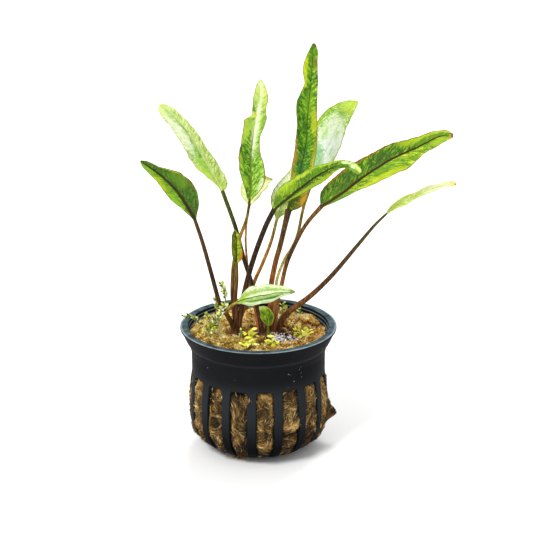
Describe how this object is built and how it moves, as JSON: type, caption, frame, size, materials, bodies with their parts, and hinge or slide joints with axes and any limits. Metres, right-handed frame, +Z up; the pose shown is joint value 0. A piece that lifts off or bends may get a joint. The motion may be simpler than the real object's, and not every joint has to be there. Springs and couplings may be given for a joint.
{
  "type": "potted cryptocoryne water plant",
  "caption": "Small water plant with long lance-shaped leaves on thin brown stalks, growing in brown fibre wool in a black slotted net pot.",
  "frame": {"origin": "middle of the pot's underside, on the surface that the pot stands on", "axes": "+Z up, along the pot's axis and the plant's height; -Y towards the side shown in the picture; +X to the right in the picture"},
  "size_m": [0.1062, 0.0617, 0.1436],
  "materials": {
    "pot_plastic": "satin black moulded plastic",
    "wool": "golden brown matted fibres",
    "crown": "dull brown sheaths",
    "stalk": "smooth brown stalk",
    "leaf": "satin mottled green blade",
    "sprig": "pale mossy green",
    "seedling": "fresh yellow green"
  },
  "bodies": {
    "root": {"net_pot": "pot_plastic", "growing_wool": "wool", "crown_left": "crown", "crown_right": "crown", "leaf_far_left": "leaf", "leaf_pale_left": "leaf", "leaf_twisted": "leaf", "leaf_folded_back": "leaf", "leaf_young_left": "leaf", "leaf_arching": "leaf", "leaf_tall": "leaf", "leaf_broad_right": "leaf", "leaf_pale_back": "leaf", "leaf_long_right": "leaf", "leaf_slender_right": "leaf", "leaf_low_front": "leaf", "leaf_young_front": "leaf", "stalk_far_left": "stalk", "stalk_pale_left": "stalk", "stalk_twisted": "stalk", "stalk_folded_back": "stalk", "stalk_young_left": "stalk", "stalk_arching": "stalk", "stalk_tall": "stalk", "stalk_broad_right": "stalk", "stalk_pale_back": "stalk", "stalk_long_right": "stalk", "stalk_slender_right": "stalk", "stalk_low_front": "stalk", "stalk_young_front": "stalk", "weed_sprig_tall": "sprig", "weed_sprig_side": "sprig", "weed_sprig_hanging": "sprig", "weed_sprig_rim": "sprig", "weed_sprig_back": "sprig", "weed_sprig_far_back": "sprig", "weed_seedlings_front_left": "seedling", "weed_seedlings_front_middle": "seedling", "weed_seedlings_front_right": "seedling", "weed_seedlings_right": "seedling"}
  },
  "joints": []
}
